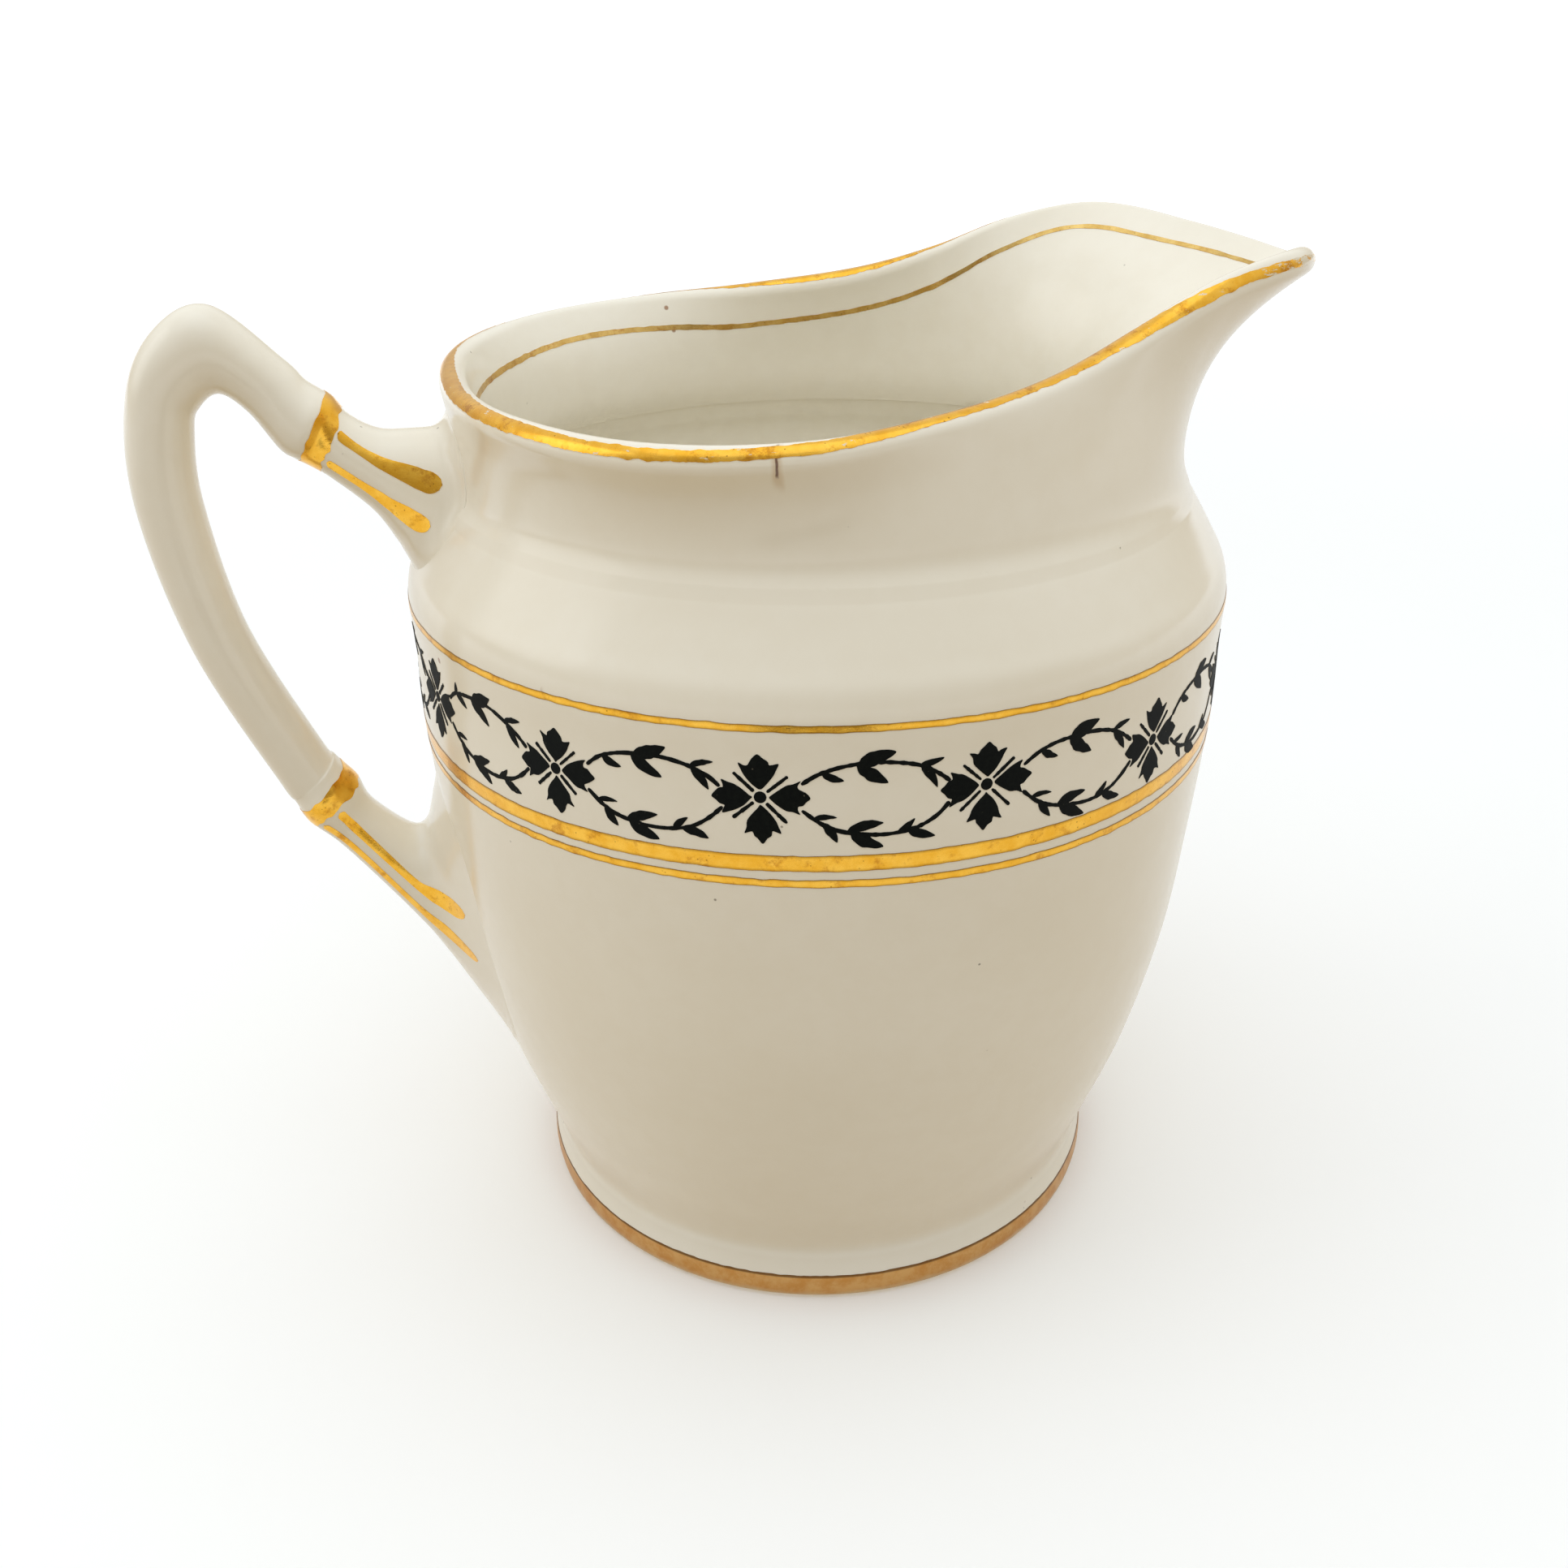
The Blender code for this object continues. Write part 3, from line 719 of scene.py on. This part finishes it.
class Nodes:
    """Short ways to add and join shader nodes in one material."""

    def __init__(self, name):
        self.material = bpy.data.materials.new(name)
        self.material.use_nodes = True
        self.tree = self.material.node_tree
        self.shader = self.tree.nodes["Principled BSDF"]
        self.where = self.add("ShaderNodeTexCoord").outputs["Object"]

    def add(self, kind, **settings):
        node = self.tree.nodes.new(kind)
        for key, value in settings.items():
            setattr(node, key, value)
        return node

    def put(self, value, socket):
        if isinstance(value, bpy.types.NodeSocket):
            self.tree.links.new(value, socket)
        else:
            socket.default_value = value

    def math(self, operation, *values, clamp=False):
        node = self.add("ShaderNodeMath", operation=operation, use_clamp=clamp)
        for value, socket in zip(values, node.inputs):
            self.put(value, socket)
        return node.outputs[0]

    def mix(self, share, one, other):
        node = self.add("ShaderNodeMix", data_type="RGBA")
        self.put(share, node.inputs["Factor"])
        self.put(one, node.inputs[6])
        self.put(other, node.inputs[7])
        return node.outputs[2]

    def scaled(self, scale, offset=(0, 0, 0)):
        node = self.add("ShaderNodeMapping")
        self.put(self.where, node.inputs["Vector"])
        node.inputs["Scale"].default_value = scale
        node.inputs["Location"].default_value = offset
        return node.outputs["Vector"]

    def noise(self, size_mm, detail=3, rough=0.5, where=None, distortion=0.0):
        node = self.add("ShaderNodeTexNoise")
        self.put(self.where if where is None else where, node.inputs["Vector"])
        node.inputs["Scale"].default_value = 1 / (size_mm * MM)
        node.inputs["Detail"].default_value = detail
        node.inputs["Roughness"].default_value = rough
        node.inputs["Distortion"].default_value = distortion
        return node.outputs["Fac"]

    def dots(self, size_mm, radius_share, where=None):
        """1 in small round dots spread at random, 0 between them."""
        node = self.add("ShaderNodeTexVoronoi")
        self.put(self.where if where is None else where, node.inputs["Vector"])
        node.inputs["Scale"].default_value = 1 / (size_mm * MM)
        return self.step(node.outputs["Distance"], radius_share, radius_share * 0.55)

    def step(self, value, low, high):
        """A smooth ramp from 0 at low to 1 at high, which may be the smaller."""
        node = self.add("ShaderNodeMapRange", interpolation_type="SMOOTHSTEP")
        self.put(value, node.inputs["Value"])
        node.inputs["From Min"].default_value = low
        node.inputs["From Max"].default_value = high
        return node.outputs["Result"]

    def bump(self, height, depth_mm, strength=1.0):
        node = self.add("ShaderNodeBump")
        self.put(height, node.inputs["Height"])
        node.inputs["Distance"].default_value = depth_mm * MM
        node.inputs["Strength"].default_value = strength
        self.put(node.outputs["Normal"], self.shader.inputs["Normal"])

    def finish(self, colour, roughness, **sockets):
        self.put(colour, self.shader.inputs["Base Color"])
        self.put(roughness, self.shader.inputs["Roughness"])
        for name, value in sockets.items():
            self.shader.inputs[name.replace("_", " ")].default_value = value
        return self.material


def rgb(red, green, blue):
    """A colour from 0 to 255 sRGB values."""
    def linear(value):
        value /= 255
        return value / 12.92 if value <= 0.04045 else ((value + 0.055) / 1.055) ** 2.4

    return (linear(red), linear(green), linear(blue), 1.0)


def ivory(nodes):
    """The porcelain's colour: warm ivory, faintly mottled, with specks and rust marks, and painted light
    inside, whiter the deeper it goes.
    """
    cloud = nodes.step(nodes.noise(26, 2), 0.35, 0.65)
    colour = nodes.mix(cloud, rgb(241, 234, 217), rgb(244, 238, 223))
    # Painted light: the mark grows with depth below the lip, and the inside is painted whiter by it, standing
    # in for light that reaches in.
    inside = nodes.add("ShaderNodeAttribute", attribute_name="mark").outputs["Fac"]
    colour = nodes.mix(inside, colour, rgb(253, 248, 234))
    fine = nodes.step(nodes.noise(2.2, 4, 0.6), 0.3, 0.7)
    colour = nodes.mix(nodes.math("MULTIPLY", fine, 0.2), colour, rgb(236, 227, 207))
    specks = nodes.math("MULTIPLY", nodes.dots(2.6, 0.06), nodes.step(nodes.noise(9, 1), 0.56, 0.6))
    colour = nodes.mix(nodes.math("MULTIPLY", specks, 0.75), colour, rgb(120, 108, 88))
    rust_dots = nodes.dots(7.0, 0.045, nodes.scaled((1, 1, 1), (0.013, 0.021, 0.017)))
    rust = nodes.math("MULTIPLY", rust_dots, nodes.step(nodes.noise(16, 1), 0.55, 0.6))
    return nodes.mix(nodes.math("MULTIPLY", rust, 0.8), colour, rgb(150, 95, 40))


def stains_and_cove_highlight(nodes, colour):
    """A short brown hairline under the lip, in front, with an amber run below it, and a painted highlight in
    the hollow above the foot.
    """
    azimuth = math.radians(-105 - 4.2)
    split = nodes.add("ShaderNodeSeparateXYZ")
    nodes.put(nodes.where, split.inputs[0])
    x, y, z = split.outputs
    sideways = nodes.math(
        "ADD",
        nodes.math("MULTIPLY", nodes.math("SUBTRACT", x, AXIS_X * MM), -math.sin(azimuth)),
        nodes.math("MULTIPLY", y, math.cos(azimuth)),
    )
    wander = nodes.math("MULTIPLY", nodes.math("SUBTRACT", nodes.noise(1.5, 2), 0.5), 0.5 * MM)
    away = nodes.math("ABSOLUTE", nodes.math("ADD", sideways, wander))
    front = nodes.math("LESS_THAN", y, 0.0)
    hair = nodes.math("MULTIPLY", nodes.step(away, 0.13 * MM, 0.05 * MM), nodes.step(z, 77.0 * MM, 77.4 * MM))
    run = nodes.math("MULTIPLY", nodes.step(away, 0.5 * MM, 0.1 * MM), nodes.step(z, 74.2 * MM, 77.5 * MM))
    outside = nodes.step(y, -29.3 * MM, -29.8 * MM)
    amber = nodes.math("MULTIPLY", nodes.math("MULTIPLY", run, outside), 0.42)
    colour = nodes.mix(amber, colour, rgb(196, 158, 96))
    marked = nodes.math("MULTIPLY", nodes.math("MULTIPLY", hair, outside), front)
    colour = nodes.mix(nodes.math("MULTIPLY", marked, 0.85), colour, rgb(96, 52, 30))
    # A painted highlight: the hollow above the foot is tinted bluish-white.
    cove_highlight = nodes.math("MULTIPLY", nodes.step(z, 6.6 * MM, 4.6 * MM), 0.18)
    return nodes.mix(cove_highlight, colour, rgb(230, 233, 236))


def porcelain_material():
    nodes = Nodes("glazed_porcelain")
    colour = stains_and_cove_highlight(nodes, ivory(nodes))
    pits = nodes.dots(3.4, 0.05, nodes.scaled((1, 1, 1), (0.007, 0.003, 0.011)))
    swell = nodes.noise(7, 2)
    nodes.bump(nodes.math("SUBTRACT", swell, nodes.math("MULTIPLY", pits, 0.25)), 0.05, 0.35)
    rough = nodes.math("ADD", nodes.math("MULTIPLY", nodes.noise(3, 4), 0.08), 0.14)
    return nodes.finish(colour, rough, IOR=1.5)


def slip_material():
    nodes = Nodes("fired_slip")
    grain = nodes.noise(0.8, 4)
    nodes.bump(grain, 0.03, 0.5)
    colour = nodes.mix(grain, rgb(232, 226, 210), rgb(216, 207, 186))
    return nodes.finish(colour, nodes.math("ADD", nodes.math("MULTIPLY", grain, 0.2), 0.4), IOR=1.5)


def gold_material(name, light=(242, 188, 74), deep=(230, 168, 48), worn=False):
    """Burnished gold with fine brush streaks, small pits and a dark edge."""
    nodes = Nodes(name)
    cloud = nodes.step(nodes.noise(1.6, 5, 0.65), 0.3, 0.7)
    colour = nodes.mix(cloud, rgb(*deep), rgb(*light))
    burnt = nodes.math("MULTIPLY", nodes.step(nodes.noise(2.0, 5, 0.75), 0.52, 0.68), 0.6)
    colour = nodes.mix(burnt, colour, rgb(170, 100, 28))
    flecks = nodes.math("MULTIPLY", nodes.dots(0.4, 0.2), nodes.step(nodes.noise(1.3, 3), 0.5, 0.6))
    colour = nodes.mix(nodes.math("MULTIPLY", flecks, 0.6), colour, rgb(104, 58, 18))
    edge = nodes.add("ShaderNodeAttribute", attribute_name="mark").outputs["Fac"]
    colour = nodes.mix(nodes.math("MULTIPLY", edge, 0.8), colour, rgb(92, 54, 20))
    streaks = nodes.noise(0.5, 4, 0.6, nodes.scaled((0.35, 0.35, 2.4)))
    rough = nodes.math("ADD", nodes.math("MULTIPLY", streaks, 0.2), 0.12)
    nodes.bump(nodes.math("ADD", streaks, nodes.noise(1.2, 3)), 0.02, 0.45)
    material = nodes.finish(colour, rough, Metallic=1.0)
    if worn:
        wear(nodes)
    return material


def foot_gold_material():
    """The duller gold of the foot, painted paler tan at the bottom as a reflection of the pale floor, with a
    painted dark reflection along its top.
    """
    nodes = Nodes("dull_foot_gold")
    split = nodes.add("ShaderNodeSeparateXYZ")
    nodes.put(nodes.where, split.inputs[0])
    height = split.outputs[2]
    cloud = nodes.step(nodes.noise(1.8, 5, 0.7), 0.35, 0.65)
    colour = nodes.mix(cloud, rgb(196, 140, 72), rgb(208, 162, 100))
    ragged_height = nodes.math("ADD", height, nodes.math("MULTIPLY", nodes.noise(2.5, 4), 1.2 * MM))
    # Painted reflection: the bottom of the foot's gold is paler tan, for the pale floor it mirrors.
    rubbed_and_floor_reflection = nodes.step(ragged_height, 1.7 * MM, 1.1 * MM)
    colour = nodes.mix(nodes.math("MULTIPLY", rubbed_and_floor_reflection, 0.75), colour, rgb(206, 178, 134))
    # Painted reflection: a dark line along the top of the foot's gold, for the dark it mirrors there.
    top = nodes.step(height, 2.42 * MM, 2.6 * MM)
    colour = nodes.mix(nodes.math("MULTIPLY", top, 0.8), colour, rgb(84, 52, 24))
    rough = nodes.math("ADD", nodes.math("MULTIPLY", nodes.noise(0.6, 4, 0.6), 0.25), 0.22)
    nodes.bump(nodes.noise(1.0, 4), 0.02, 0.45)
    return nodes.finish(colour, rough, Metallic=0.85)


def wear(nodes):
    """Shows the porcelain through the gold where the lip is rubbed, at the spout."""
    split = nodes.add("ShaderNodeSeparateXYZ")
    nodes.put(nodes.where, split.inputs[0])
    x = split.outputs[0]
    at_spout = nodes.step(x, (AXIS_X + 24) * MM, (AXIS_X + 38) * MM)
    rubbed_and_floor_reflection = nodes.math("MULTIPLY", at_spout, 0.24)
    streaks = nodes.noise(1.1, 5, 0.7, nodes.scaled((0.7, 0.7, 2.6)))
    bare = nodes.step(nodes.math("ADD", streaks, rubbed_and_floor_reflection), 0.63, 0.68)
    glaze = nodes.add("ShaderNodeBsdfPrincipled")
    glaze.inputs["Base Color"].default_value = rgb(226, 216, 192)
    glaze.inputs["Roughness"].default_value = 0.2
    mixed = nodes.add("ShaderNodeMixShader")
    output = nodes.tree.nodes["Material Output"]
    nodes.put(bare, mixed.inputs[0])
    nodes.put(nodes.shader.outputs[0], mixed.inputs[1])
    nodes.put(glaze.outputs[0], mixed.inputs[2])
    nodes.put(mixed.outputs[0], output.inputs["Surface"])


def print_material():
    nodes = Nodes("black_print")
    grain = nodes.noise(0.35, 4, 0.6)
    colour = nodes.mix(nodes.step(grain, 0.35, 0.75), rgb(4, 6, 4), rgb(14, 17, 14))
    thin = nodes.math("MULTIPLY", nodes.dots(0.5, 0.16), nodes.step(nodes.noise(1.4, 3), 0.58, 0.66))
    colour = nodes.mix(nodes.math("MULTIPLY", thin, 0.5), colour, rgb(110, 106, 92))
    nodes.bump(grain, 0.01, 0.4)
    rough = nodes.math("ADD", nodes.math("MULTIPLY", grain, 0.2), 0.45)
    return nodes.finish(colour, rough, IOR=1.5, Specular_IOR_Level=0.06)


def stage_material():
    """Pale and matt, with a glow of its own far off, where the warm light near the ground would tint it."""
    nodes = Nodes("pale_stage")
    colour = nodes.mix(nodes.noise(60, 2), (0.97, 0.97, 0.96, 1), (0.98, 0.98, 0.97, 1))
    cool = nodes.mix(nodes.noise(60, 2), (0.86, 0.9, 0.98, 1), (0.87, 0.91, 0.98, 1))
    nodes.put(cool, nodes.shader.inputs["Emission Color"])
    away = nodes.add("ShaderNodeVectorMath", operation="LENGTH")
    nodes.put(nodes.where, away.inputs[0])
    glow = nodes.math("MULTIPLY", nodes.step(away.outputs["Value"], 0.15, 1.1), 0.55)
    nodes.put(glow, nodes.shader.inputs["Emission Strength"])
    return nodes.finish(colour, 0.7)


# ---------------------------------------------------------------- stage, lights and camera


def round_stage(name, rings, material):
    """A piece of stage turned about the vertical, from rings of (radius, height) in metres. It throws no
    light back on the jug, because the world is made warmer below for that."""
    mesh = bpy.data.meshes.new(name)
    shape = bmesh.new()
    turns = [2 * math.pi * k / 96 for k in range(96)]
    rows = []
    for radius, height in rings:
        places = [(radius * math.cos(turn), radius * math.sin(turn), height) for turn in turns]
        rows.append([shape.verts.new(place) for place in places])
    for near, far in zip(rows, rows[1:]):
        for k in range(96):
            m = (k + 1) % 96
            shape.faces.new((near[k], far[k], far[m], near[m]))
    if rings[0][1] == 0:
        shape.faces.new(rows[0])
    shape.to_mesh(mesh)
    shape.free()
    mesh.shade_smooth()
    mesh.materials.append(material)
    made = bpy.data.objects.new(name, mesh)
    made.location.z = -0.00002
    made.visible_diffuse = False
    bpy.context.scene.collection.objects.link(made)
    return made


def build_floor():
    """A pale floor, and a far pale wall that it turns up into, which hides the horizon and isn't mirrored."""
    pale = stage_material()
    round_stage("floor", [(0.25, 0.0), (1.0, 0.0), (3.3, 0.0)], pale)
    rise = [(3.0, 0.0005), (3.5, 0.05), (3.8, 0.2), (4.0, 0.5), (4.15, 1.1), (4.2, 2.2), (4.25, 4.5)]
    wall = round_stage("far_wall", rise, pale)
    wall.visible_glossy = wall.visible_shadow = False


def build_dark_card():
    """A low dark card in front of the jug, seen only mirrored in the gold and the glaze."""
    forward = Vector((math.cos(VIEW_AZIMUTH), math.sin(VIEW_AZIMUTH), 0))
    aside = Vector((-forward.y, forward.x, 0)) * 0.045
    middle = Vector((AXIS_X * MM, 0, 0)) + forward * 0.18
    up = Vector((0, 0, 0.02))
    mesh = bpy.data.meshes.new("dark_card")
    left, right = middle - aside, middle + aside
    mesh.from_pydata([left, right, right + up, left + up], [], [(0, 1, 2, 3)])
    nodes = Nodes("dark_card")
    colour = nodes.mix(nodes.noise(30, 2), (0.02, 0.016, 0.012, 1), (0.03, 0.024, 0.018, 1))
    mesh.materials.append(nodes.finish(colour, 0.8))
    card = bpy.data.objects.new("dark_card", mesh)
    card.visible_camera = card.visible_diffuse = card.visible_shadow = False
    bpy.context.scene.collection.objects.link(card)


def area_light(name, place, size, power, colour=(1, 1, 1)):
    """A soft lamp that points at the middle of the jug."""
    data = bpy.data.lights.new(name, "AREA")
    data.shape = "RECTANGLE"
    data.size, data.size_y = size
    data.energy = power
    data.color = colour
    light = bpy.data.objects.new(name, data)
    light.location = place
    light.rotation_euler = (Vector((0, 0, 0.05)) - Vector(place)).to_track_quat("-Z", "Y").to_euler()
    bpy.context.scene.collection.objects.link(light)
    return light


def build_world():
    """An even warm light from all round, cooler above, and weaker from the photographer's side."""
    world = bpy.data.worlds.new("studio")
    bpy.context.scene.world = world
    world.use_nodes = True
    tree = world.node_tree
    background = tree.nodes["Background"]
    where = tree.nodes.new("ShaderNodeTexCoord").outputs["Generated"]
    split = tree.nodes.new("ShaderNodeSeparateXYZ")
    tree.links.new(where, split.inputs[0])
    spread = tree.nodes.new("ShaderNodeMapRange")
    spread.inputs["From Min"].default_value = -1
    tree.links.new(split.outputs[2], spread.inputs["Value"])
    ramp = tree.nodes.new("ShaderNodeValToRGB")
    tree.links.new(spread.outputs[0], ramp.inputs[0])
    stops = ramp.color_ramp.elements
    stops[0].position, stops[0].color = 0.0, (0.66, 0.54, 0.36, 1)
    stops[1].position, stops[1].color = 1.0, (0.86, 0.9, 0.96, 1)
    between = ((0.5, (0.55, 0.47, 0.35, 1)), (0.6, (0.62, 0.58, 0.49, 1)), (0.72, (0.86, 0.86, 0.83, 1)))
    for position, colour in between:
        stop = stops.new(position)
        stop.color = colour
    toward = tree.nodes.new("ShaderNodeVectorMath")
    toward.operation = "DOT_PRODUCT"
    toward.inputs[1].default_value = (math.cos(VIEW_AZIMUTH), math.sin(VIEW_AZIMUTH), 0)
    tree.links.new(where, toward.inputs[0])
    shade = tree.nodes.new("ShaderNodeMapRange")
    shade.interpolation_type = "SMOOTHSTEP"
    shade.inputs["To Min"].default_value = 1.12
    shade.inputs["To Max"].default_value = 0.62
    tree.links.new(toward.outputs["Value"], shade.inputs["Value"])
    tree.links.new(ramp.outputs[0], background.inputs["Color"])
    tree.links.new(shade.outputs[0], background.inputs["Strength"])


def build_camera():
    """The camera at the photograph's place: above the rim and close, 15 degrees off the jug's broadside."""
    away, height = 124.7, 103.5
    aside, up = -3.0, 38.45  # the aim: how far it is to the right of the axis, and its height
    toward = Vector((math.cos(VIEW_AZIMUTH), math.sin(VIEW_AZIMUTH), 0))
    right = Vector((-toward.y, toward.x, 0))
    axis = Vector((AXIS_X, 0, 0))
    place = (axis + away * toward + Vector((0, 0, height))) * MM
    aim = (axis + aside * right + Vector((0, 0, up))) * MM
    data = bpy.data.cameras.new("camera")
    data.sensor_width = 36
    data.lens = 33.82
    data.clip_start = 0.005
    camera = bpy.data.objects.new("camera", data)
    roll = Matrix.Rotation(-0.0152, 4, "Z")
    turn = (aim - place).to_track_quat("-Z", "Y").to_matrix().to_4x4()
    camera.matrix_world = Matrix.Translation(place) @ turn @ roll
    bpy.context.scene.collection.objects.link(camera)
    bpy.context.scene.camera = camera


# ---------------------------------------------------------------- the whole


def main():
    porcelain = porcelain_material()
    gold = gold_material("bright_gold")
    lip_gold = gold_material("worn_lip_gold", worn=True)
    foot_gold = foot_gold_material()
    slip = slip_material()

    build_body(porcelain)
    build_handle(porcelain)
    build_slip("upper_slip_pad", "upper_slip_joint", True, slip)
    build_slip("lower_slip_pad", "lower_slip_joint", False, slip)
    build_rim_gilding(lip_gold)
    build_inner_line(gold_material("pale_inner_gold", (222, 188, 116), (196, 156, 82)))
    gilt_band("shoulder_gold_line", 60.55, 61.1, gold, ["shoulder_line"], 31)
    gilt_band("belly_gold_band", 49.65, 50.95, gold, ["belly_band"], 41)
    gilt_band("belly_gold_line", 48.3, 48.95, gold, ["belly_line"], 51)
    gilt_band("foot_gold", 0.15, 2.7, foot_gold, ["foot_band"], 61, rows=20)
    build_knuckle("upper_knuckle_gold", "upper_knuckle_gilding", 4.4, 5.7, gold, 71)
    build_knuckle("lower_knuckle_gold", "lower_knuckle_gilding", 15.6, 16.95, gold, 81)
    for hand, sign in (("left", 1), ("right", -1)):
        for number, (place, start, end, first, last, width) in enumerate(PAIRED_STROKES):
            name, node = f"{place}_gold_{hand}", f"{place}_stroke_{hand}"
            build_stroke(name, node, (sign * start, sign * end), first, last, width, gold, 91 + number)
    build_stroke("upper_under_gold", "upper_under_stroke", (180, 180), 4.3, 1.3, 1.6, gold, 95)
    build_frieze(print_material())

    build_floor()
    build_dark_card()
    build_world()
    area_light("overhead", (-0.05, -0.1, 0.85), (0.9, 0.9), 1.1, (0.86, 0.95, 1.0))
    front = area_light("front_fill", (-0.16, -0.58, 0.62), (0.6, 0.4), 0.75, (0.98, 0.97, 0.96))
    front.visible_glossy = False
    area_light("left_window", (-0.7, 0.1, 0.4), (0.5, 0.5), 0.7, (0.95, 0.98, 1.0))
    build_camera()
    bpy.context.scene.view_settings.view_transform = "Standard"


main()
